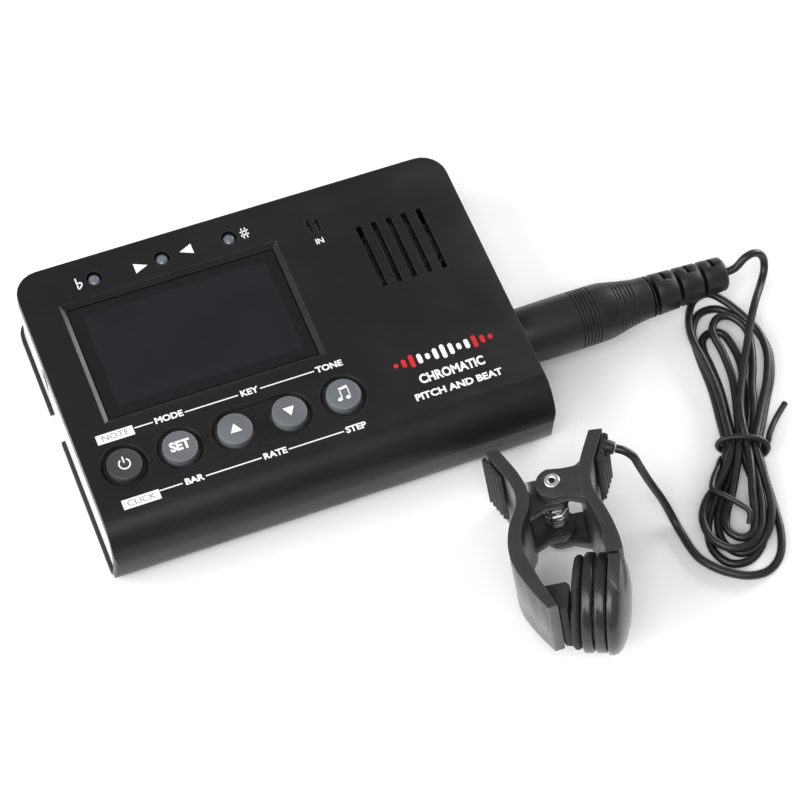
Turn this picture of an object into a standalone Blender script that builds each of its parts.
"""Desktop chromatic tuner and metronome with its plug-in clip pickup.

The case lies on its back: X runs along its face, Y towards its far edge and Z up. The origin is the
centre of the underside. A quarter-inch plug sits in the right-hand jack, its thin lead is tied in a
hank, and the lead ends at a spring clip that holds a piezo pickup.
"""
import math

import bmesh
import bpy
from mathutils import Matrix, Vector

MM = 0.001
GAP = 0.3 * MM
TINY = 0.00001

# Case.
HALF_W = 52.5 * MM
BACK_Y = 36.5 * MM
FRONT_Y = -36.6 * MM
CASE_H = 18.0 * MM
BACK_CORNER = 6.0 * MM
FRONT_CORNER = 1.2 * MM
EDGE_ROUND = 1.2 * MM
WALL = 2.0 * MM
COVER_FLOOR = 1.5 * MM
LIP_DEPTH = 3.2 * MM
ROLL_Y = -27.5 * MM
ROLL_Z = 8.5 * MM
FOOT_DEPTH = 3.0 * MM
PLATE = 1.2 * MM
FLANGE = 0.25 * MM
NOTCH_Y = (1.5 * MM, 9.5 * MM)
LIP_TOP = 3.0 * MM

# Face layout.
BUTTON_Y = -17.9 * MM
BUTTON_X0 = -43.7 * MM
BUTTON_PITCH = 12.86 * MM
BUTTON_R = 4.0 * MM
BUTTON_HOLE_R = 4.3 * MM
BUTTON_PROUD = 0.9 * MM
DISH_R = 5.5 * MM
DISH_DEPTH = 0.9 * MM
BUTTONS = ("power_button", "mode_button", "up_button", "down_button", "sound_button")
LED_Y = 30.3 * MM
LED_X0 = -34.5 * MM
LED_PITCH = 16.3 * MM
LED_R = 1.55 * MM
LED_HOLE_R = 1.85 * MM
LEDS = ("led_flat", "led_in_tune", "led_sharp")
WINDOW = (-44.3 * MM, 8.0 * MM, -6.5 * MM, 25.9 * MM)
WINDOW_BEVEL = 1.1 * MM
SLOT_X0 = 27.2 * MM
SLOT_PITCH = 3.72 * MM
SLOT_COUNT = 5
SLOT_Y = (5.8 * MM, 23.1 * MM)
SLOT_W = 1.4 * MM
MIC_X = (16.5 * MM, 18.6 * MM)
MIC_Y = (25.0 * MM, 28.8 * MM)
MIC_W = 1.0 * MM

# Inside.
BOARD_Z = (11.2 * MM, 12.4 * MM)
BOSS_SPOTS = ((-46.4 * MM, 30.4 * MM), (46.4 * MM, 30.4 * MM), (-46 * MM, -25 * MM), (46 * MM, -25 * MM))
BOSS_R = 2.8 * MM
SCREW_R = 1.1 * MM
SPEAKER = (34.6 * MM, 14.4 * MM)
SPEAKER_R = 9.8 * MM
BATTERY_BOX = (-32.0 * MM, 20.0 * MM, 9.0 * MM, 33.0 * MM)
BATTERY_R = 5.1 * MM
BATTERY_L = 43.3 * MM
BATTERY_Z = 7.15 * MM
DOOR_X = (-30.2 * MM, 18.2 * MM)
STAND_HALF = 19.5 * MM
STAND_TIP_Y = -29.8 * MM
STAND_AXIS_Y = -3.6 * MM
STAND_AXIS_Z = 1.1 * MM
STAND_T = 1.6 * MM
POCKET_Z = 2.2 * MM
PHONE_Y = 15.0 * MM
PHONE_Z = 6.6 * MM

# Quarter-inch plug and its jack, on one axis along X.
PLUG_Y = -12.8 * MM
PLUG_Z = 9.0 * MM
PLUG_R = 3.175 * MM
SHOULDER = 52.8 * MM
HOUSING_R = 6.9 * MM
RELIEF_END = 105.7 * MM
CORD_R = 0.95 * MM

# Spring clip, lying on its side: local x across the jaws, local -y from the pivot to the jaw tips.
CLIP_AT = (44.14 * MM, -60.01 * MM)
CLIP_TURN = math.radians(-12.9)
CLIP_LEAN = math.radians(10.0)
CLIP_PITCH = math.radians(3.0)
CLIP_LIFT = 3.05 * MM
CLIP_H = 24.6 * MM
LUG_R = 3.7 * MM
PICKUP_AT = (-0.5 * MM, -23.9 * MM)
PICKUP_TOE = math.radians(14.0)
LEVER_FACE = ((13.1 * MM, 10.1 * MM), (9.6 * MM, 2.6 * MM))
GROMMET_BACK = 1.8 * MM
GROMMET_Z = 20.0 * MM

# Tied hank of lead: local y runs from the lower loops up to the upper loops.
HANK_AT = (93.2 * MM, -54.1 * MM)
HANK_TURN = math.radians(-21.6)
HANK_Z = (0.2 * MM, 5.2 * MM)
UPPER_LOOP = (-2.0 * MM, 30.3 * MM, 10.0 * MM)
LOWER_LOOP = (-2.2 * MM, -23.0 * MM, 9.8 * MM)
WAIST = 5.0 * MM

PLUG_RUN = ((106.0, -12.8, 9.0), (107.4, -12.88, 9.12), (108.95, -12.88, 9.85), (111.1, -12.25, 11.7),
            (113.4, -11.8, 12.0), (115.2, -11.9, 11.2), (116.35, -12.6, 9.5), (116.2, -14.25, 7.3),
            (114.3, -16.9, 6.25), (110.6, -21.3, 6.9), (107.3, -25.8, 6.5))
CLIP_RUN = ((71.4, -75.0, 1.0), (70.5, -68.8, 1.0), (70.1, -65.4, 1.6), (69.3, -63.0, 3.6),
            (67.8, -61.5, 7.2), (65.7, -60.5, 11.8), (63.6, -59.6, 16.6), (61.8, -58.5, 20.9),
            (60.4, -57.2, 24.0), (58.8, -55.75, 25.05), (57.25, -54.53, 25.0))

PARTS = "desk_tuner_with_clip_pickup"
CUTTERS = "cutters"


def clear_scene():
    for old in list(bpy.data.objects):
        bpy.data.objects.remove(old, do_unlink=True)
    for name in (PARTS, CUTTERS):
        group = bpy.data.collections.new(name)
        bpy.context.scene.collection.children.link(group)


def material(name, colour, roughness, metallic=0.0):
    made = bpy.data.materials.new(name)
    made.use_nodes = True
    shader = made.node_tree.nodes["Principled BSDF"]
    shader.inputs["Base Color"].default_value = (*colour, 1.0)
    shader.inputs["Roughness"].default_value = roughness
    shader.inputs["Metallic"].default_value = metallic
    return made


def add(name, data, look=None, frame=None):
    """Place mesh or curve data as a part, or as a hidden cutter where it has no material."""
    made = bpy.data.objects.new(name, data)
    if look:
        data.materials.append(look)
        bpy.data.collections[PARTS].objects.link(made)
    else:
        bpy.data.collections[CUTTERS].objects.link(made)
        made.hide_render = True
        made.display_type = "WIRE"
    if frame:
        made.parent = frame
    return made


def frame_at(name, location, turn=0.0, lean=0.0, pitch=0.0):
    """An empty to hold pieces: turned about Z, after a pitch about X and a lean about Y."""
    empty = bpy.data.objects.new(name, None)
    empty.location = location
    empty.rotation_mode = "YXZ"
    empty.rotation_euler = (-pitch, -lean, turn)
    empty.empty_display_size = 5 * MM
    bpy.data.collections[PARTS].objects.link(empty)
    return empty


def finish_bmesh(made, name):
    if made.calc_volume(signed=True) < 0:
        bmesh.ops.reverse_faces(made, faces=made.faces)
    data = bpy.data.meshes.new(name)
    made.to_mesh(data)
    made.free()
    return data


def box(name, x, y, z, look=None, frame=None):
    """A box between the given low and high x, y and z."""
    made = bmesh.new()
    bmesh.ops.create_cube(made, size=1.0)
    size = Matrix.Diagonal((x[1] - x[0], y[1] - y[0], z[1] - z[0], 1.0))
    middle = Matrix.Translation((sum(x) / 2, sum(y) / 2, sum(z) / 2))
    made.transform(middle @ size)
    return add(name, finish_bmesh(made, name), look, frame)


def along(axis):
    """The turn that takes local Z to the named axis."""
    turns = {"X": Matrix.Rotation(math.pi / 2, 4, "Y"), "Y": Matrix.Rotation(-math.pi / 2, 4, "X")}
    return turns.get(axis, Matrix.Identity(4))


def cone(name, low_r, high_r, start, length, axis="Z", look=None, frame=None, segments=32):
    """A cylinder or cone from its start point, along the axis."""
    made = bmesh.new()
    bmesh.ops.create_cone(made, cap_ends=True, segments=segments, radius1=low_r, radius2=high_r,
                          depth=length)
    turn = along(axis)
    made.transform(Matrix.Translation(start) @ turn @ Matrix.Translation((0, 0, length / 2)))
    shape = add(name, finish_bmesh(made, name), look, frame)
    smooth_round(shape.data)
    return shape


def smooth_round(data):
    data.shade_smooth()
    data.set_sharp_from_angle(angle=math.radians(35))


def prism(name, outline, low, high, axis="Z", look=None, frame=None):
    """A flat outline as thick as low to high. Its plane is XY, or YZ where the axis is X."""
    flat = bpy.data.curves.new(name, "CURVE")
    flat.dimensions = "2D"
    flat.fill_mode = "BOTH"
    flat.extrude = (high - low) / 2
    spline = flat.splines.new("POLY")
    spline.points.add(len(outline) - 1)
    for point, (across, up) in zip(spline.points, outline):
        point.co = (across, up, 0.0, 1.0)
    spline.use_cyclic_u = True
    curve = bpy.data.objects.new(name + "_outline", flat)
    bpy.context.scene.collection.objects.link(curve)
    bpy.context.view_layer.update()
    data = bpy.data.meshes.new_from_object(curve.evaluated_get(bpy.context.evaluated_depsgraph_get()))
    bpy.data.objects.remove(curve, do_unlink=True)
    made = bmesh.new()
    made.from_mesh(data)
    bmesh.ops.remove_doubles(made, verts=made.verts, dist=TINY / 10)
    made.transform(Matrix.Translation((0, 0, (low + high) / 2)))
    if axis == "X":
        made.transform(Matrix(((0, 0, 1, 0), (1, 0, 0, 0), (0, 1, 0, 0), (0, 0, 0, 1))))
    shape = add(name, finish_bmesh(made, name), look, frame)
    smooth_round(shape.data)
    return shape


def turned(name, profile, axis="Z", at=(0, 0, 0), look=None, frame=None, closed=False, steps=32):
    """A turned piece from (radius, height) points that run down its outer side."""
    data = bpy.data.meshes.new(name)
    count = len(profile)
    edges = [(i, i + 1) for i in range(count - 1)]
    if closed:
        edges.append((count - 1, 0))
    data.from_pydata([(radius, 0, height) for radius, height in profile], edges, [])
    shape = add(name, data, look, frame)
    shape.location = at
    shape.rotation_euler = along(axis).to_euler()
    screw = shape.modifiers.new("turn", "SCREW")
    screw.steps = steps
    screw.render_steps = steps
    screw.use_merge_vertices = True
    screw.merge_threshold = TINY
    return shape


def tube(name, points, radius, look, frame=None):
    curve = bpy.data.curves.new(name, "CURVE")
    curve.dimensions = "3D"
    curve.bevel_depth = radius
    curve.bevel_resolution = 2
    curve.use_fill_caps = True
    spline = curve.splines.new("POLY")
    spline.points.add(len(points) - 1)
    for point, place in zip(spline.points, points):
        point.co = (*place, 1.0)
    return add(name, curve, look, frame)


def boolean(target, other, operation):
    step = target.modifiers.new(other.name, "BOOLEAN")
    step.operation = operation
    step.object = other
    step.solver = "EXACT"


def cut(target, *others):
    for other in others:
        boolean(target, other, "DIFFERENCE")
    return target


def join(target, *others):
    for other in others:
        boolean(target, other, "UNION")
    return target


def round_edges(target, width, segments=3):
    edges = target.modifiers.new("rounded", "BEVEL")
    edges.width = width
    edges.segments = segments
    edges.limit_method = "ANGLE"
    edges.angle_limit = math.radians(40)
    return target


def arc(centre_x, centre_y, radius, start, end, count, radius_y=None):
    """Points along an arc or ellipse, from start to end in degrees."""
    tall = radius if radius_y is None else radius_y
    angles = [math.radians(start + (end - start) * i / count) for i in range(count + 1)]
    return [(centre_x + radius * math.cos(a), centre_y + tall * math.sin(a)) for a in angles]


def rounded_plan(left, right, front, back, front_r, back_r, count=6):
    return (arc(right - back_r, back - back_r, back_r, 0, 90, count)
            + arc(left + back_r, back - back_r, back_r, 90, 180, count)
            + arc(left + front_r, front + front_r, front_r, 180, 270, count)
            + arc(right - front_r, front + front_r, front_r, 270, 360, count))


def flow(route, per_span, closed=False):
    """A smooth curve (Catmull-Rom) through the route's points."""
    points = [Vector(p) for p in route]
    count = len(points)
    spans = count if closed else count - 1
    smooth = []
    for i in range(spans):
        a, b, c, d = (points[(i + k) % count] if closed else points[min(max(i + k, 0), count - 1)]
                      for k in (-1, 0, 1, 2))
        for step in range(per_span):
            t = step / per_span
            smooth.append(0.5 * (2 * b + (c - a) * t + (2 * a - 5 * b + 4 * c - d) * t * t
                                 + (3 * b - a - 3 * c + d) * t * t * t))
    if not closed:
        smooth.append(points[-1])
    return [tuple(p) for p in smooth]


# ---------------------------------------------------------------- case

def case_plan(inset, front=FRONT_Y):
    corner = max(BACK_CORNER - inset, 1 * MM)
    return rounded_plan(inset - HALF_W, HALF_W - inset, front, BACK_Y - inset, FRONT_CORNER, corner)


def roll_cutter(name, inset):
    """Everything in front of the case's rolled front edge, whose skin is moved in by inset."""
    top = arc(ROLL_Y, ROLL_Z, ROLL_Y - FRONT_Y - inset, 93, 180, 14, CASE_H - ROLL_Z - inset)
    lowest = arc(FRONT_Y + FOOT_DEPTH, 8 * MM, FOOT_DEPTH - inset / 2, 180, 268, 6, 8 * MM)
    skin = top + [(y + inset / 2, z) for y, z in lowest[1:]]
    outside = [(skin[-1][0], -20 * MM), (-80 * MM, -20 * MM), (-80 * MM, 60 * MM),
               (skin[0][0], 60 * MM)]
    return prism(name, skin + outside, -90 * MM, 90 * MM, "X")


def make_top_cover(look):
    cover = prism("top_cover", case_plan(0.0), COVER_FLOOR, CASE_H, look=look)
    round_edges(cover, EDGE_ROUND)
    hollow = prism("cover_hollow", case_plan(WALL, FRONT_Y - 5 * MM), -5 * MM, CASE_H - WALL)
    cut(hollow, roll_cutter("hollow_front", WALL))
    sides = box("side_opening", (-60 * MM, 60 * MM), (-50 * MM, 60 * MM), (-5 * MM, CASE_H - LIP_DEPTH))
    cut(sides, roll_cutter("side_opening_front", WALL))
    cut(cover, roll_cutter("rolled_front", 0.0), hollow, sides)
    for i, (x, y) in enumerate(BOSS_SPOTS):
        join(cover, cone(f"boss_{i}", BOSS_R, BOSS_R, (x, y, LIP_TOP + GAP),
                         CASE_H - WALL - LIP_TOP, segments=20))
        cut(cover, cone(f"boss_hole_{i}", SCREW_R + GAP, SCREW_R + GAP, (x, y, 0), 11 * MM, segments=16))
    cut_face(cover)
    return cover


def frustum(name, x, y, z, spread):
    """A rectangular cutter that widens upwards by spread on every side."""
    made = bmesh.new()
    bmesh.ops.create_cube(made, size=1.0)
    for corner in made.verts:
        grow = spread if corner.co.z > 0 else 0.0
        corner.co.x = corner.co.x * (x[1] - x[0] + 2 * grow) + sum(x) / 2
        corner.co.y = corner.co.y * (y[1] - y[0] + 2 * grow) + sum(y) / 2
        corner.co.z = corner.co.z * (z[1] - z[0]) + sum(z) / 2
    return add(name, finish_bmesh(made, name))


def button_x(index):
    return BUTTON_X0 + index * BUTTON_PITCH


def cut_face(cover):
    """Openings in the face: window, buttons in their dishes, lamps, speaker and microphone slots."""
    left, right, front, back = WINDOW
    edge = WINDOW_BEVEL
    inner_x = (left + edge, right - edge)
    inner_y = (front + edge, back - edge)
    cut(cover, box("window_hole", inner_x, inner_y, (10 * MM, 30 * MM)))
    rise = 0.2 * MM
    slope = edge * (edge + rise) / edge
    cut(cover, frustum("window_slope", inner_x, inner_y, (CASE_H - edge, CASE_H + rise), slope))
    top = CASE_H + 0.1 * MM
    floor = CASE_H - DISH_DEPTH
    low_r = BUTTON_HOLE_R + 0.3 * MM
    for i in range(len(BUTTONS)):
        spot = (button_x(i), BUTTON_Y)
        cut(cover, cone(f"button_dish_{i}", low_r, DISH_R, (*spot, floor), top - floor, segments=28),
            cone(f"button_hole_{i}", BUTTON_HOLE_R, BUTTON_HOLE_R, (*spot, 10 * MM), 20 * MM, segments=28))
    bridge = prism("dish_bridge", [(BUTTON_Y - low_r, floor), (BUTTON_Y + low_r, floor),
                                   (BUTTON_Y + DISH_R, top), (BUTTON_Y - DISH_R, top)],
                   button_x(2), button_x(3), "X")
    cut(cover, bridge)
    for i in range(len(LEDS)):
        spot = (LED_X0 + i * LED_PITCH, LED_Y, 10 * MM)
        cut(cover, cone(f"led_hole_{i}", LED_HOLE_R, LED_HOLE_R, spot, 20 * MM, segments=16))
    for i in range(SLOT_COUNT):
        x = SLOT_X0 + i * SLOT_PITCH
        cut(cover, box(f"speaker_slot_{i}", (x - SLOT_W / 2, x + SLOT_W / 2), SLOT_Y, (10 * MM, 30 * MM)))
    for i, x in enumerate(MIC_X):
        cut(cover, box(f"mic_slot_{i}", (x - MIC_W / 2, x + MIC_W / 2), MIC_Y, (10 * MM, 30 * MM)))


def make_side_band(look):
    """The pale wall between the cover and the underside, round both ends and the back."""
    band = prism("side_band", case_plan(0.6 * MM, FRONT_Y - 2 * MM), 1.6 * MM,
                 CASE_H - LIP_DEPTH - GAP, look=look)
    inner = prism("band_inner", case_plan(2.6 * MM, -60 * MM), -5 * MM, 30 * MM)
    jack = cone("band_jack_hole", 5.0 * MM, 5.0 * MM, (45 * MM, PLUG_Y, PLUG_Z), 10 * MM, "X")
    phone = cone("band_phone_hole", 2.9 * MM, 2.9 * MM, (-60 * MM, PHONE_Y, PHONE_Z), 12 * MM, "X")
    door_x = (DOOR_X[0] - 2 * MM, DOOR_X[1] + 2 * MM)
    door = box("band_door_notch", door_x, (30 * MM, 50 * MM), (-5 * MM, 2.8 * MM))
    return cut(band, roll_cutter("band_front", WALL + GAP), inner, jack, phone, door)


def make_rear_cover(look):
    left, right, front, back = BATTERY_BOX
    cover = prism("rear_cover", rounded_plan(-HALF_W - FLANGE, HALF_W + FLANGE, -34.0 * MM,
                                             BACK_Y - 0.6 * MM, FRONT_CORNER, 5.2 * MM),
                  0.0, PLATE, look=look)
    cut(cover, box("finger_notch", (-HALF_W - 2 * MM, -HALF_W + 0.9 * MM), NOTCH_Y, (-5 * MM, 5 * MM)))
    ring = prism("lip_ring", case_plan(3.2 * MM, -31.5 * MM), PLATE / 2, LIP_TOP)
    cut(ring, prism("lip_inner", case_plan(4.4 * MM, -30.3 * MM), 0.0, 30 * MM))
    walls = box("battery_walls", (left - 1.2 * MM, right + 1.2 * MM), (front - 1.2 * MM, back + 0.8 * MM),
                (0.2 * MM, 12.9 * MM))
    pocket_top = POCKET_Z + 1.0 * MM
    pocket = box("pocket_walls", (-STAND_HALF - 2 * MM, STAND_HALF + 2 * MM),
                 (STAND_TIP_Y - 1.0 * MM, STAND_AXIS_Y + 2.2 * MM), (0.3 * MM, pocket_top))
    join(cover, ring, walls, pocket)
    cut(cover, box("battery_space", (left, right), (front, back), (PLATE, 12.3 * MM)))
    cut(cover, box("door_opening", (DOOR_X[0] - GAP, DOOR_X[1] + GAP), (front, 60 * MM), (-5 * MM, 1.3 * MM)))
    cut(cover, box("door_rails", (DOOR_X[0] - 1.8 * MM, DOOR_X[1] + 1.8 * MM), (front, 60 * MM),
                   (1.15 * MM, 2.35 * MM)))
    cut(cover, box("stand_space", (-STAND_HALF - 0.5 * MM, STAND_HALF + 0.5 * MM),
                   (STAND_TIP_Y - 0.4 * MM, STAND_AXIS_Y + 1.4 * MM), (-5 * MM, POCKET_Z)))
    cut(cover, cone("stand_pin_hole", 0.95 * MM, 0.95 * MM,
                    (-STAND_HALF - 1.6 * MM, STAND_AXIS_Y, STAND_AXIS_Z), 2 * STAND_HALF + 3.2 * MM, "X",
                    segments=16))
    for i, (x, y) in enumerate(BOSS_SPOTS):
        join(cover, cone(f"screw_seat_{i}", 3.1 * MM, 3.1 * MM, (x, y, 0.4 * MM), 2.6 * MM, segments=20))
        cut(cover, cone(f"screw_well_{i}", 2.4 * MM, 2.4 * MM, (x, y, -1 * MM), 2.8 * MM, segments=20),
            cone(f"screw_way_{i}", SCREW_R + GAP, SCREW_R + GAP, (x, y, 0), 5 * MM, segments=16))
    return cover


def make_battery_door(look):
    """The sliding lid, with a tongue along each end that runs in the rear cover's rails."""
    front, back = BATTERY_BOX[2] + GAP, BACK_Y - 0.6 * MM
    door = box("battery_door", DOOR_X, (front, back), (0.0, PLATE), look)
    for i, side in enumerate((-1, 1)):
        edge = DOOR_X[(side + 1) // 2]
        inner, outer = edge - side * 1.0 * MM, edge + side * 1.5 * MM
        join(door, box(f"tongue_root_{i}", sorted((inner, edge)), (front, back - 3 * MM),
                       (0.5 * MM, 1.9 * MM)),
             box(f"tongue_{i}", sorted((inner + side * 0.1 * MM, outer)), (front + 0.1 * MM, back - 3.1 * MM),
                 (1.5 * MM, 1.95 * MM)))
    for i in range(4):
        y = 25 * MM + i * 2 * MM
        cut(door, box(f"thumb_groove_{i}", (-14 * MM, 2 * MM), (y, y + 0.8 * MM), (-1 * MM, 0.4 * MM)))
    return door


def make_desk_stand(look):
    """The fold-out leg, on two stub pins, folded flat in its pocket under the case."""
    axis = frame_at("stand_hinge", (0, STAND_AXIS_Y, STAND_AXIS_Z))
    half = STAND_T / 2
    side = (arc(0, 0, half, -90, 90, 8)
            + arc(STAND_TIP_Y - STAND_AXIS_Y + half, 0, half, 90, 270, 4))
    stand = prism("desk_stand", side, -STAND_HALF, STAND_HALF, "X", look, axis)
    middle = prism("stand_window", rounded_plan(-13 * MM, 13 * MM, -20 * MM, -6 * MM, 3 * MM, 3 * MM),
                   -5 * MM, 5 * MM, frame=axis)
    pins = cone("stand_pins", 0.65 * MM, 0.65 * MM, (-STAND_HALF - 1.3 * MM, 0, 0),
                2 * STAND_HALF + 2.6 * MM, "X", frame=axis, segments=12)
    return cut(join(stand, pins), middle)


def make_screws(look):
    """Four slotted case screws, up through the rear cover into the cover's bosses."""
    for i, (x, y) in enumerate(BOSS_SPOTS):
        screw = cone(f"case_screw_{i + 1}", 2.0 * MM, 2.0 * MM, (x, y, 0.5 * MM), 1.0 * MM, look=look,
                     segments=20)
        join(screw, cone(f"screw_shank_{i}", SCREW_R, 0.8 * SCREW_R, (x, y, 1.2 * MM), 8.6 * MM, segments=12))
        cut(screw, box(f"screw_slot_{i}", (x - 3 * MM, x + 3 * MM), (y - GAP, y + GAP), (0, 0.9 * MM)))


# ---------------------------------------------------------------- face parts and electronics

def make_window(look):
    left, right, front, back = WINDOW
    inset = WINDOW_BEVEL + GAP
    return box("display_window", (left + inset, right - inset), (front + inset, back - inset),
               (CASE_H - WALL - 0.1 * MM, CASE_H - WINDOW_BEVEL - 0.1 * MM), look)


def make_lcd(look):
    left, right, front, back = WINDOW
    return box("lcd_panel", (left - 1 * MM, right + 1 * MM), (front - 1 * MM, back + 1 * MM),
               (13.4 * MM, 15.4 * MM), look)


def make_buttons(looks):
    """Round caps with a flange under the face and a stem over the switch, each on its own axis."""
    for i, name in enumerate(BUTTONS):
        axis = frame_at(name + "_axis", (button_x(i), BUTTON_Y, CASE_H))
        flange_top = -WALL - 0.1 * MM
        profile = [(0, BUTTON_PROUD), (BUTTON_R - 0.5 * MM, BUTTON_PROUD - 0.03 * MM),
                   (BUTTON_R - 0.15 * MM, BUTTON_PROUD - 0.15 * MM), (BUTTON_R, BUTTON_PROUD - 0.45 * MM),
                   (BUTTON_R, flange_top), (BUTTON_R + 0.7 * MM, flange_top - 0.1 * MM),
                   (BUTTON_R + 0.7 * MM, flange_top - 0.5 * MM), (0, flange_top - 0.5 * MM)]
        turned(name, profile, look=looks[0 if i == 0 else 1], frame=axis, steps=24)


def make_leds(look):
    for i, name in enumerate(LEDS):
        profile = [(0, 17.8 * MM), (0.8 * MM, 17.7 * MM), (1.3 * MM, 17.4 * MM), (LED_R, 16.9 * MM),
                   (LED_R, 14.2 * MM), (0, 14.2 * MM)]
        turned(name, profile, at=(LED_X0 + i * LED_PITCH, LED_Y, 0), look=look, steps=14)


def make_board(look):
    left, right, front = -48.5 * MM, 48.5 * MM, -29.5 * MM
    board = box("main_board", (left, right), (front, BATTERY_BOX[2] - 1.8 * MM), BOARD_Z, look)
    cut(board, box("board_jack_notch", (19.5 * MM, 60 * MM), (PLUG_Y - 6.6 * MM, PLUG_Y + 6.6 * MM),
                   (0, 30 * MM)))
    for i, (x, y) in enumerate(BOSS_SPOTS):
        cut(board, cone(f"board_boss_{i}", BOSS_R + 0.4 * MM, BOSS_R + 0.4 * MM, (x, y, 0), 30 * MM,
                        segments=20))
    return board


def make_switches(look):
    """A tact switch on the board under each button."""
    half = 3 * MM
    for i in range(len(BUTTONS)):
        x = button_x(i)
        switch = box(f"tact_switch_{i + 1}", (x - half, x + half), (BUTTON_Y - half, BUTTON_Y + half),
                     (12.7 * MM, 14.1 * MM), look)
        join(switch, cone(f"switch_plunger_{i}", 1.6 * MM, 1.6 * MM, (x, BUTTON_Y, 13.8 * MM), 0.9 * MM,
                          segments=16))


def make_speaker(frame_look, cone_look, magnet_look):
    x, y = SPEAKER
    ring = [(9.3 * MM, 15.6 * MM), (SPEAKER_R, 15.6 * MM), (SPEAKER_R, 14.2 * MM), (5.6 * MM, 11.9 * MM),
            (4.9 * MM, 11.9 * MM), (9.0 * MM, 14.1 * MM)]
    paper = [(0, 13.9 * MM), (3.2 * MM, 13.7 * MM), (5.6 * MM, 14.0 * MM), (8.3 * MM, 15.2 * MM),
             (8.9 * MM, 15.0 * MM), (5.6 * MM, 13.2 * MM), (0, 13.2 * MM)]
    magnet = [(0, 12.6 * MM), (4.4 * MM, 12.6 * MM), (4.4 * MM, 9.8 * MM), (0, 9.8 * MM)]
    turned("speaker_frame", ring, at=(x, y, 0), look=frame_look, closed=True, steps=22)
    turned("speaker_cone", paper, at=(x, y, 0), look=cone_look, steps=22)
    turned("speaker_magnet", magnet, at=(x, y, 0), look=magnet_look, steps=22)


def make_mic(look):
    x = sum(MIC_X) / 2
    return cone("mic_capsule", 2.6 * MM, 2.6 * MM, (x, sum(MIC_Y) / 2, 13.8 * MM), 1.9 * MM, look=look,
                segments=24)


def make_batteries(look, metal):
    """Two AAA cells side by side, with a contact plate and a coil at each cell's flat end."""
    left, right, front, back = BATTERY_BOX
    plate_t = 0.4 * MM
    for name, side, y in (("battery_a", 1, front + 6.0 * MM), ("battery_b", -1, back - 6.0 * MM)):
        # The cell's nub touches the contact plate on its own side; its coil is at the other end.
        nub_face = right - plate_t - 2 * GAP if side > 0 else left + plate_t + 2 * GAP
        half = BATTERY_L / 2
        profile = [(0, half + 0.9 * MM), (1.8 * MM, half + 0.9 * MM), (1.9 * MM, half),
                   (BATTERY_R - 0.4 * MM, half), (BATTERY_R, half - 0.4 * MM),
                   (BATTERY_R, 0.4 * MM - half), (BATTERY_R - 0.4 * MM, -half), (0, -half)]
        cell_x = nub_face - side * (half + 0.9 * MM)
        cell = turned(name, profile, "X", (cell_x, y, BATTERY_Z), look, steps=20)
        if side < 0:
            cell.rotation_euler = (0, -math.pi / 2, 0)
        flat_end = cell_x - side * half
        wall = left + plate_t + GAP if side > 0 else right - plate_t - GAP
        turns, per_turn, wire = 3, 8, 0.35 * MM
        count = int(turns * per_turn)
        length = abs(flat_end - wall) - 2 * GAP - 2 * wire
        coil = []
        for i in range(count + 1):
            along_coil = i / count
            angle = 2 * math.pi * turns * along_coil
            r = (3.9 - 1.6 * along_coil) * MM
            coil.append((wall + side * (GAP + wire + length * along_coil),
                         y + r * math.cos(angle), BATTERY_Z + r * math.sin(angle)))
        tube(name.replace("battery", "battery_spring"), coil, wire, metal)
    for name, low in (("contact_plate_left", left + 0.1 * MM), ("contact_plate_right", right - 0.5 * MM)):
        box(name, (low, low + plate_t), (front + 1.2 * MM, back - 1.2 * MM), (2.9 * MM, 11.4 * MM), metal)


def make_jacks(look, metal):
    """The quarter-inch input jack on the right and the earphone socket on the left."""
    body = box("input_jack", (22.4 * MM, 49.6 * MM), (PLUG_Y - 5.6 * MM, PLUG_Y + 5.6 * MM),
               (PLUG_Z - 5.4 * MM, PLUG_Z + 5.4 * MM), look)
    join(body, cone("jack_nose", 4.6 * MM, 4.6 * MM, (49 * MM, PLUG_Y, PLUG_Z), 3.1 * MM, "X"))
    cut(body, cone("jack_chamber", 4.4 * MM, 4.4 * MM, (23.4 * MM, PLUG_Y, PLUG_Z), 24 * MM, "X"),
        cone("jack_bore", 3.55 * MM, 3.55 * MM, (40 * MM, PLUG_Y, PLUG_Z), 20 * MM, "X"))
    socket = box("earphone_socket", (-49.4 * MM, -41 * MM), (PHONE_Y - 3.4 * MM, PHONE_Y + 3.4 * MM),
                 (PHONE_Z - 3.0 * MM, PHONE_Z + 3.4 * MM), look)
    join(socket, cone("socket_nose", 2.6 * MM, 2.6 * MM, (-51.6 * MM, PHONE_Y, PHONE_Z), 3 * MM, "X",
                      segments=24))
    cut(socket, cone("socket_bore", 1.8 * MM, 1.8 * MM, (-60 * MM, PHONE_Y, PHONE_Z), 18 * MM, "X",
                     segments=20))
    return box("jack_contact", (24.5 * MM, 46 * MM), (PLUG_Y - 1.2 * MM, PLUG_Y + 1.2 * MM),
               (PLUG_Z + PLUG_R + GAP, PLUG_Z + PLUG_R + 2 * GAP), metal)


# ---------------------------------------------------------------- plug and strain relief

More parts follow.
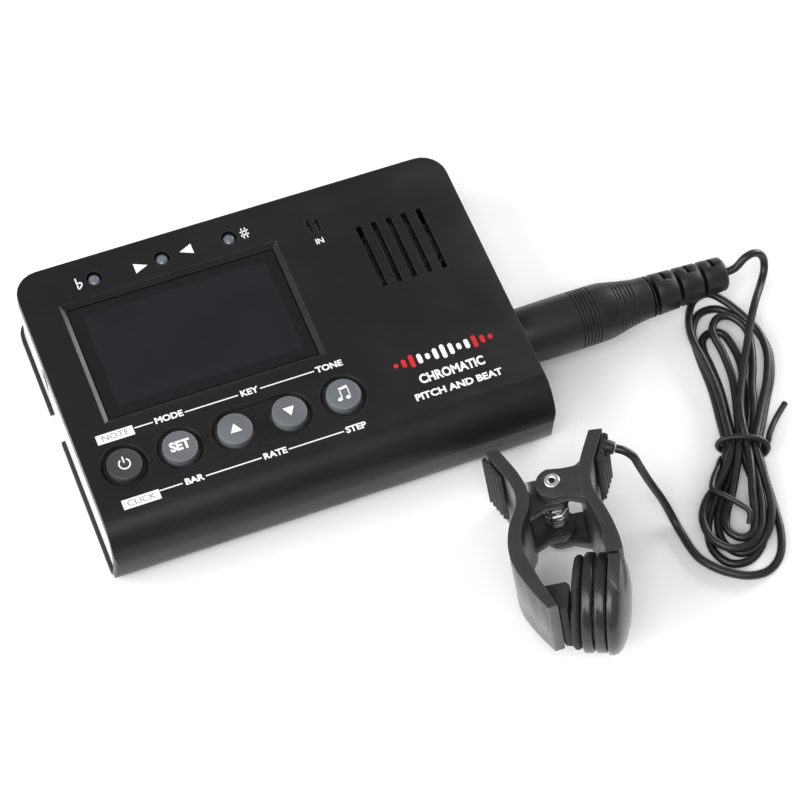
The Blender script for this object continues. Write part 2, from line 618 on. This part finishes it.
def make_plug(metal, black, rubber):
    frame = frame_at("plug_axis", (0, PLUG_Y, PLUG_Z))
    end, neck = 24.3 * MM, 27.0 * MM
    tip = [(0, 31.2 * MM), (2.9 * MM, 31.2 * MM), (2.9 * MM, 29.4 * MM), (PLUG_R, 29.2 * MM),
           (PLUG_R, 28.2 * MM), (2.2 * MM, neck), (2.9 * MM, end + 1.4 * MM), (2.3 * MM, end + 0.4 * MM),
           (0, end)]
    turned("plug_tip", tip, "X", look=metal, frame=frame, steps=24)
    cone("plug_insulator", PLUG_R, PLUG_R, (31.5 * MM, 0, 0), 1.2 * MM, "X", black, frame, 28)
    cone("plug_sleeve", PLUG_R, PLUG_R, (33.0 * MM, 0, 0), SHOULDER - 33.0 * MM - GAP, "X", metal, frame, 28)
    housing = [(0, 86.2 * MM), (4.6 * MM, 86.2 * MM), (4.9 * MM, 85.8 * MM), (4.9 * MM, 84.4 * MM),
               (6.3 * MM, 78.8 * MM), (6.8 * MM, 75.6 * MM), (HOUSING_R, 72.6 * MM), (HOUSING_R, 64 * MM),
               (6.7 * MM, SHOULDER + 1 * MM), (6.3 * MM, SHOULDER), (0, SHOULDER)]
    turned("plug_housing", housing, "X", look=rubber, frame=frame, steps=32)
    relief = make_strain_relief(rubber, frame)
    return relief


def make_strain_relief(look, frame):
    """A tapering sleeve with ring gaps, and short slots on alternate sides between them."""
    core, start, pitch, ring_gap = 2.3 * MM, 86.5 * MM, 6.2 * MM, 1.1 * MM
    start_r, end_r = 5.0 * MM, 4.1 * MM

    def outer(at):
        return start_r + (end_r - start_r) * (at - start) / (RELIEF_END - start)

    profile = [(0, RELIEF_END), (end_r - 0.5 * MM, RELIEF_END), (end_r, RELIEF_END - 0.5 * MM)]
    for i in (2, 1, 0):
        high = start + 1.2 * MM + i * pitch
        low = high - ring_gap
        profile += [(outer(high), high), (core, high - 0.1 * MM), (core, low + 0.1 * MM), (outer(low), low)]
    profile += [(start_r, start), (0, start)]
    relief = turned("strain_relief", profile, "X", look=look, frame=frame, steps=20)
    for i in range(3):
        x = start + 3.9 * MM + i * pitch
        for side in (-1, 1):
            slot = box(f"relief_slot_{i}_{side}", (x - 0.5 * MM, x + 0.5 * MM),
                       sorted((side * 6 * MM, side * 2.0 * MM)), (-2.2 * MM, 2.2 * MM), frame=frame)
            slot.rotation_euler = (math.radians(55), 0, 0)
            cut(relief, slot)
    return relief


# ---------------------------------------------------------------- clip

OUTER_EDGE = ((13.1, 10.1), (11.35, 6.35), (9.6, 2.6), (8.5, -1.2), (8.9, -5.0), (10.9, -8.7),
              (12.1, -13.0), (12.2, -17.0), (11.2, -21.0), (9.0, -26.0), (6.6, -30.4))
INNER_EDGE = ((4.4, -30.1), (6.6, -24.2), (8.6, -17.8), (9.2, -14.0), (8.6, -10.4), (7.2, -7.4),
              (6.0, -5.2), (5.6, -1.0), (6.7, 3.0), (8.3, 6.6), (10.2, 10.4))
SENSOR_OUTER = OUTER_EDGE[:3] + ((8.4, -1.2), (8.6, -5.0), (9.9, -8.7), (11.0, -13.0), (11.6, -17.0),
                                 (11.7, -20.0))
SENSOR_INNER = ((8.0, -20.0), (8.0, -17.0), (8.1, -14.0), (7.7, -10.6), (6.7, -7.6)) + INNER_EDGE[6:]


def edge_points(points, side, per_span=3):
    return [(side * x * MM, y * MM) for x, y, _ in flow([(x, y, 0) for x, y in points], per_span)]


def lug_outline(side):
    """A cheek that reaches from the arm's inner side to a round eye at the pivot."""
    eye = arc(0, -0.6 * MM, LUG_R, 100, 260, 12)
    arm = [(2.6 * MM, -4.2 * MM), (7.0 * MM, -6.2 * MM), (7.0 * MM, 2.6 * MM), (2.4 * MM, 2.6 * MM)]
    return [(side * x, y) for x, y in eye + arm]


def make_arm(name, side, edges, lugs, look, frame):
    """One arm of the clip: a curved wall the height of the clip, with a cheek near each edge."""
    outline = edge_points(edges[0], side) + edge_points(edges[1], side)
    arm = prism(name, outline, 0.0, CLIP_H, look=look, frame=frame)
    for i, (low, high) in enumerate(lugs):
        join(arm, prism(f"{name}_lug_{i}", lug_outline(side), low, high, frame=frame))
    return cut(arm, cone(name + "_eye", 1.85 * MM, 1.85 * MM, (0, 0, -5 * MM), 40 * MM, frame=frame,
                         segments=24))


def make_arms(look, frame, sensor_frame, pickup_frame):
    inside = ((3.5 * MM, 5.9 * MM), (18.7 * MM, 21.1 * MM))
    outside = ((0.5 * MM, 3.2 * MM), (21.4 * MM, 24.1 * MM))
    clamp = make_arm("clamp_arm", -1, (OUTER_EDGE, INNER_EDGE), inside, look, frame)
    # The clamp arm's wall is let in where the sensor arm's outer cheeks lie over it.
    for i, (low, high) in enumerate(((-1 * MM, 3.5 * MM), (21.1 * MM, 26 * MM))):
        cut(clamp, cone(f"clamp_relief_{i}", LUG_R + 1.3 * MM, LUG_R + 1.3 * MM, (0, -0.4 * MM, low),
                        high - low, frame=frame, segments=40))
    # The clamp jaw's lower edge rises towards its tip.
    below = [(-12 * MM, 0), (-32 * MM, 4.2 * MM), (-32 * MM, -9 * MM), (-12 * MM, -9 * MM)]
    cut(clamp, prism("clamp_taper", below, -20 * MM, 5 * MM, "X", frame=frame))
    sensor = make_arm("sensor_arm", 1, (SENSOR_OUTER, SENSOR_INNER), outside, look, sensor_frame)
    for i, (low, high) in enumerate(((3.2 * MM, 6.2 * MM), (18.4 * MM, 21.4 * MM))):
        cut(sensor, cone(f"sensor_relief_{i}", LUG_R + 1.0 * MM, LUG_R + 1.0 * MM, (0, -0.4 * MM, low),
                         high - low, frame=sensor_frame, segments=40))
    cut(sensor, cone("stack_room", 11.2 * MM, 11.2 * MM, (-2 * MM, 0, 0), 9.8 * MM, "X",
                     frame=pickup_frame))
    # The wall runs on over the round housing, rounding down behind it.
    over = [(5.5 * MM, 5 * MM), (5.5 * MM, 12.2 * MM), (2.8 * MM, 12.1 * MM), (0.0, 11.7 * MM),
            (-2.6 * MM, 10.8 * MM), (-2.6 * MM, 5 * MM)]
    join(sensor, prism("arm_end", over, 7.8 * MM, 10.4 * MM, "X", frame=pickup_frame))
    return clamp, join(sensor, pickup_dome(pickup_frame))


def pickup_dome(frame):
    """The sensor arm's jaw: a round housing, domed outwards, behind the pickup stack."""
    profile = [(0, 12.3), (4.5, 12.1), (7.8, 11.4), (9.8, 10.6), (10.9, 9.7), (11.3, 8.7), (11.3, 7.8),
               (0, 7.8)]
    return turned("pickup_dome", [(r * MM, x * MM) for r, x in profile], "X", frame=frame, steps=36)


def disc(name, radius, low, high, look, frame, edge=0.4 * MM):
    """A round disc of the pickup stack, standing across the jaws."""
    profile = [(0, high), (radius - edge, high), (radius, high - edge), (radius, low + edge),
               (radius - edge, low), (0, low)]
    return turned(name, profile, "X", look=look, frame=frame, steps=32)


def make_pickup(rubber, shell, brass, frame):
    disc("sensor_pad", 10.3 * MM, 0.0 * MM, 1.9 * MM, rubber, frame, 0.6 * MM)
    face = disc("sensor_face", 10.9 * MM, 2.2 * MM, 4.6 * MM, shell, frame)
    recess = cone("piezo_recess", 8.6 * MM, 8.6 * MM, (3.6 * MM, 0, 0), 5 * MM, "X", frame=frame)
    cut(face, recess)
    disc("sensor_base", 10.9 * MM, 4.9 * MM, 7.5 * MM, shell, frame)
    cone("piezo_disc", 8.0 * MM, 8.0 * MM, (3.9 * MM, 0, 0), 0.35 * MM, "X", brass, frame)


def make_clamp_pad(rubber, frame):
    """The soft block on the plain jaw, facing the pickup."""
    outline = [(-6.3, -23.6), (-5.4, -26.6), (-4.1, -29.8), (-2.6, -30.3), (-2.3, -29.6), (-1.0, -24.6),
               (-1.6, -23.6)]
    return prism("clamp_pad", [(x * MM, y * MM) for x, y in outline], 4.2 * MM, CLIP_H - 2.6 * MM,
                 look=rubber, frame=frame)


def make_grip(name, side, look, frame):
    """A ribbed finger pad on a lever's outer face."""
    (x0, y0), (x1, y1) = LEVER_FACE
    run = Vector((x1 - x0, y1 - y0))
    length = run.length
    run.normalize()
    out = Vector((-run.y, run.x))
    ribs, start, end = 5, 0.4 * MM, length - 1.2 * MM
    pitch = (end - start) / ribs
    outline = [(start, GAP), (start, 0.8 * MM)]
    for i in range(ribs):
        at = start + i * pitch
        outline += [(at + 0.15 * pitch, 1.4 * MM), (at + 0.55 * pitch, 1.4 * MM),
                    (at + 0.7 * pitch, 0.8 * MM), (at + pitch, 0.8 * MM)]
    outline.append((end, GAP))
    corner = Vector((x0, y0))
    points = [corner + run * a + out * b for a, b in outline]
    grip = prism(name, [(side * p.x, p.y) for p in points], 4.8 * MM, CLIP_H - 1.0 * MM, look=look,
                 frame=frame)
    return grip


def lever_spot(out_by):
    """The point that lies out from the sensor lever's face, on the cord grommet's axis."""
    (x0, y0), (x1, y1) = LEVER_FACE
    run = Vector((x1 - x0, y1 - y0, 0)).normalized()
    out = Vector((-run.y, run.x, 0))
    return Vector((x0, y0, GROMMET_Z)) + run * GROMMET_BACK + out * out_by, out


def make_grommet(look, frame, grip):
    """The little sleeve where the lead enters the sensor lever, through the finger pad."""
    base, out = lever_spot(GAP)
    profile = [(0, 2.6 * MM), (1.3 * MM, 2.6 * MM), (1.5 * MM, 2.2 * MM), (1.8 * MM, 0), (0, 0)]
    sleeve = turned("cord_grommet", profile, look=look, frame=frame, steps=20)
    sleeve.location = base
    sleeve.rotation_euler = out.to_track_quat("Z", "Y").to_euler()
    hole = cone("grommet_hole", 2.2 * MM, 2.2 * MM, (0, 0, -0.2 * MM), 5 * MM, frame=frame, segments=20)
    hole.location = base
    hole.rotation_euler = sleeve.rotation_euler
    cut(grip, hole)
    return sleeve


def make_rivet(metal, frame):
    """The hollow pivot rivet through all four cheeks, with a rolled head at each end."""
    bore, shank, head = 0.75 * MM, 1.45 * MM, 1.75 * MM
    top, low = CLIP_H - 0.1 * MM, 0.05 * MM
    under, over = CLIP_H - 0.45 * MM, 0.45 * MM
    profile = [(bore, top - 0.15 * MM), (bore + 0.3 * MM, top), (head - 0.2 * MM, top),
               (head, top - 0.2 * MM), (head, under), (shank, under), (shank, over), (head, over),
               (head, low + 0.1 * MM), (head - 0.2 * MM, low), (bore, low)]
    return turned("pivot_rivet", profile, look=metal, frame=frame, closed=True, steps=16)


def make_torsion_spring(metal, frame):
    """Coil round the rivet, with a leg along the inside of each lever."""
    wire, radius, turns, per_turn = 0.45 * MM, 2.5 * MM, 5, 8
    low, high = 6.9 * MM, 17.6 * MM
    count = turns * per_turn
    start = math.radians(110)
    coil = [(radius * math.cos(start + 2 * math.pi * i / per_turn),
             radius * math.sin(start + 2 * math.pi * i / per_turn),
             low + (high - low) * i / count) for i in range(count + 1)]
    leg_low = [(-7.9 * MM, 7.2 * MM, low), (-5.2 * MM, 4.4 * MM, low)]
    leg_high = [(4.6 * MM, 5.0 * MM, high), (7.9 * MM, 7.2 * MM, high)]
    return tube("torsion_spring", leg_low + coil + leg_high, wire, metal, frame)


# ---------------------------------------------------------------- lead

def route(points):
    return [(x * MM, y * MM, z * MM) for x, y, z in points]


def make_hank(look, tie_look):
    """The tied hank's outer shape, waisted where the tie goes round it, and the wire tie."""
    frame = frame_at("hank_middle", (*HANK_AT, 0.0), HANK_TURN)
    ux, uy, ur = UPPER_LOOP
    lx, ly, lr = LOWER_LOOP
    outline = (arc(ux, uy, ur, -12, 192, 18) + [(-WAIST, 1.2 * MM), (-WAIST, -1.2 * MM)]
               + arc(lx, ly, lr, 168, 372, 18) + [(WAIST, -1.2 * MM), (WAIST, 1.2 * MM)])
    hank = prism("cord_hank", outline, *HANK_Z, look=look, frame=frame)
    cut(hank, box("tie_groove", (-20 * MM, 20 * MM), (-1.3 * MM, 1.3 * MM), (-5 * MM, 2.0 * MM), frame=frame))
    wire = 0.7 * MM
    half, rise = WAIST + GAP + wire + 0.2 * MM, HANK_Z[1] + GAP + wire
    loop = [(-half, 0, 2.2 * MM), (1 * MM - half, 0, 0.9 * MM), (half - 1 * MM, 0, 0.9 * MM),
            (half, 0, 2.2 * MM), (half, 0, rise - 1.4 * MM), (half - 1.2 * MM, 0, rise),
            (1.2 * MM - half, 0, rise), (-half, 0, rise - 1.0 * MM)]
    tube("cord_tie", flow(loop, 3), wire, tie_look, frame)


def make_lead(look):
    tube("cord_plug_run", flow(route(PLUG_RUN), 3), CORD_R, look)
    tube("cord_clip_run", flow(route(CLIP_RUN), 4), CORD_R, look)


def main():
    clear_scene()
    black = material("black_shell", (0.02, 0.02, 0.022), 0.42)
    silver = material("silver_band", (0.75, 0.76, 0.78), 0.35)
    dark = material("dark_plastic", (0.03, 0.03, 0.032), 0.55)
    grey = material("button_grey", (0.20, 0.21, 0.23), 0.4)
    dim = material("power_grey", (0.09, 0.09, 0.095), 0.4)
    lens = material("led_lens", (0.30, 0.32, 0.36), 0.25)
    window = material("window", (0.012, 0.013, 0.018), 0.08)
    lcd = material("lcd_glass", (0.03, 0.035, 0.04), 0.2)
    board = material("board_green", (0.02, 0.16, 0.06), 0.5)
    metal = material("nickel", (0.72, 0.71, 0.69), 0.25, 1.0)
    steel = material("spring_steel", (0.5, 0.5, 0.52), 0.3, 1.0)
    brass = material("brass", (0.72, 0.52, 0.22), 0.3, 1.0)
    rubber = material("rubber", (0.035, 0.035, 0.037), 0.7)
    paper = material("speaker_paper", (0.05, 0.05, 0.05), 0.9)
    cell = material("battery_sleeve", (0.06, 0.10, 0.20), 0.35)
    clip_look = material("clip_plastic", (0.05, 0.05, 0.052), 0.5)
    cord_look = material("cord_jacket", (0.03, 0.03, 0.032), 0.5)

    make_top_cover(black)
    make_side_band(silver)
    make_rear_cover(dark)
    make_battery_door(dark)
    make_desk_stand(dark)
    make_screws(steel)
    make_window(window)
    make_lcd(lcd)
    make_buttons((dim, grey))
    make_leds(lens)
    make_board(board)
    make_switches(dark)
    make_speaker(steel, paper, steel)
    make_mic(steel)
    make_batteries(cell, steel)
    make_jacks(dark, brass)
    make_plug(metal, dark, rubber)

    place = (*CLIP_AT, CLIP_LIFT)
    jaw_pivot = frame_at("jaw_pivot", place, CLIP_TURN, CLIP_LEAN, CLIP_PITCH)
    clip_body = frame_at("clip_body", place, CLIP_TURN, CLIP_LEAN, CLIP_PITCH)
    pickup_frame = frame_at("pickup_frame", (*PICKUP_AT, CLIP_H / 2), -PICKUP_TOE)
    pickup_frame.parent = clip_body
    make_arms(clip_look, jaw_pivot, clip_body, pickup_frame)
    make_pickup(rubber, clip_look, brass, pickup_frame)
    make_clamp_pad(rubber, jaw_pivot)
    make_grip("clamp_grip", -1, rubber, jaw_pivot)
    grip = make_grip("sensor_grip", 1, rubber, clip_body)
    make_grommet(rubber, clip_body, grip)
    make_rivet(metal, clip_body)
    make_torsion_spring(steel, clip_body)
    make_hank(cord_look, cord_look)
    make_lead(cord_look)
    bpy.context.view_layer.update()


main()
